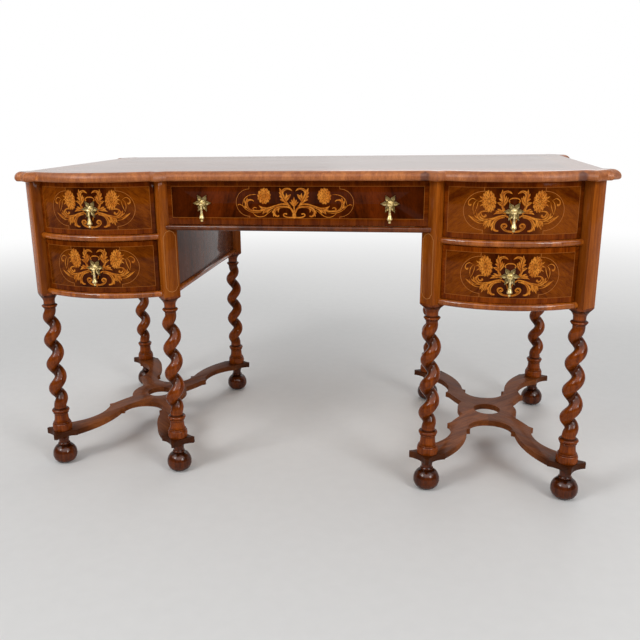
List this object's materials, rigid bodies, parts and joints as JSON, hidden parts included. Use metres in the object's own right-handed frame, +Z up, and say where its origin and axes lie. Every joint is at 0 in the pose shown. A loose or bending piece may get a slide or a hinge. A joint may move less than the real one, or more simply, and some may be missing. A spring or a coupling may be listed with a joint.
{
  "type": "kneehole writing desk",
  "caption": "Kneehole writing desk with bowed pedestal drawers, a frieze drawer, drop pulls, barley-twist legs, shaped flat stretchers and ball feet.",
  "frame": {"origin": "on the floor, in the middle of the desk's length and depth", "axes": "+X along the desk to the sitter's right, +Y to its back, +Z up; the drawers face -Y"},
  "size_m": [1.388, 0.7284, 0.765],
  "materials": {
    "top_veneer": "polished walnut veneer with inlay",
    "front_veneer": "polished walnut veneer with marquetry",
    "side_veneer": "polished walnut veneer",
    "post_veneer": "polished dark walnut with light stringing",
    "rail_walnut": "polished cross-grain walnut",
    "turned_walnut": "polished turned walnut",
    "stretcher_veneer": "polished walnut veneer",
    "foot_walnut": "worn turned walnut",
    "pine": "bare softwood",
    "brass": "aged cast brass"
  },
  "bodies": {
    "carcass": {"back_panel_left": "side_veneer", "back_panel_right": "side_veneer", "ball_feet_left": "foot_walnut", "ball_feet_right": "foot_walnut", "base_beads_left": "rail_walnut", "base_beads_right": "rail_walnut", "bottom_board_left": "pine", "bottom_board_right": "pine", "bottom_rail_left": "rail_walnut", "bottom_rail_right": "rail_walnut", "drawer_runners": "pine", "frieze_back": "side_veneer", "frieze_rail": "rail_walnut", "leg_left_inner_back": "turned_walnut", "leg_left_inner_front": "turned_walnut", "leg_left_outer_back": "turned_walnut", "leg_left_outer_front": "turned_walnut", "leg_right_inner_back": "turned_walnut", "leg_right_inner_front": "turned_walnut", "leg_right_outer_back": "turned_walnut", "leg_right_outer_front": "turned_walnut", "middle_rail_left": "rail_walnut", "middle_rail_right": "rail_walnut", "post_left_inner_back": "post_veneer", "post_left_inner_front": "post_veneer", "post_left_outer_back": "post_veneer", "post_left_outer_front": "post_veneer", "post_right_inner_back": "post_veneer", "post_right_inner_front": "post_veneer", "post_right_outer_back": "post_veneer", "post_right_outer_front": "post_veneer", "side_panel_left_inner": "side_veneer", "side_panel_left_outer": "side_veneer", "side_panel_right_inner": "side_veneer", "side_panel_right_outer": "side_veneer", "stretcher_left": "stretcher_veneer", "stretcher_right": "stretcher_veneer", "top_panel": "top_veneer"},
    "drawer_left_upper": {"drawer_front_left_upper": "front_veneer", "drawer_box_left_upper": "pine", "pull_plate_left_upper": "brass"},
    "drawer_left_lower": {"drawer_front_left_lower": "front_veneer", "drawer_box_left_lower": "pine", "pull_plate_left_lower": "brass"},
    "drawer_right_upper": {"drawer_front_right_upper": "front_veneer", "drawer_box_right_upper": "pine", "pull_plate_right_upper": "brass"},
    "drawer_right_lower": {"drawer_front_right_lower": "front_veneer", "drawer_box_right_lower": "pine", "pull_plate_right_lower": "brass"},
    "drawer_frieze": {"drawer_front_frieze": "front_veneer", "drawer_box_frieze": "pine", "pull_plates_frieze": "brass"},
    "drop_left_upper": {"pull_drop_left_upper": "brass"},
    "drop_left_lower": {"pull_drop_left_lower": "brass"},
    "drop_right_upper": {"pull_drop_right_upper": "brass"},
    "drop_right_lower": {"pull_drop_right_lower": "brass"},
    "drop_frieze_left": {"pull_drop_frieze_left": "brass"},
    "drop_frieze_right": {"pull_drop_frieze_right": "brass"}
  },
  "joints": [
    {"name": "slide_left_upper", "type": "slide", "parent": "carcass", "child": "drawer_left_upper", "axis": [0, -1, 0], "range_m": [0, 0.38]},
    {"name": "slide_left_lower", "type": "slide", "parent": "carcass", "child": "drawer_left_lower", "axis": [0, -1, 0], "range_m": [0, 0.38]},
    {"name": "slide_right_upper", "type": "slide", "parent": "carcass", "child": "drawer_right_upper", "axis": [0, -1, 0], "range_m": [0, 0.38]},
    {"name": "slide_right_lower", "type": "slide", "parent": "carcass", "child": "drawer_right_lower", "axis": [0, -1, 0], "range_m": [0, 0.38]},
    {"name": "slide_frieze", "type": "slide", "parent": "carcass", "child": "drawer_frieze", "axis": [0, -1, 0], "range_m": [0, 0.36]},
    {"name": "swing_left_upper", "type": "hinge", "parent": "drawer_left_upper", "child": "drop_left_upper", "pos_m": [-0.4765, -0.3542, 0.678], "axis": [-1, 0, 0], "range_deg": [0, 95]},
    {"name": "swing_left_lower", "type": "hinge", "parent": "drawer_left_lower", "child": "drop_left_lower", "pos_m": [-0.4765, -0.3542, 0.53925], "axis": [-1, 0, 0], "range_deg": [0, 95]},
    {"name": "swing_right_upper", "type": "hinge", "parent": "drawer_right_upper", "child": "drop_right_upper", "pos_m": [0.4765, -0.3542, 0.678], "axis": [-1, 0, 0], "range_deg": [0, 95]},
    {"name": "swing_right_lower", "type": "hinge", "parent": "drawer_right_lower", "child": "drop_right_lower", "pos_m": [0.4765, -0.3542, 0.53925], "axis": [-1, 0, 0], "range_deg": [0, 95]},
    {"name": "swing_frieze_left", "type": "hinge", "parent": "drawer_frieze", "child": "drop_frieze_left", "pos_m": [-0.216, -0.3142, 0.68885], "axis": [-1, 0, 0], "range_deg": [0, 95]},
    {"name": "swing_frieze_right", "type": "hinge", "parent": "drawer_frieze", "child": "drop_frieze_right", "pos_m": [0.216, -0.3142, 0.68885], "axis": [-1, 0, 0], "range_deg": [0, 95]}
  ]
}
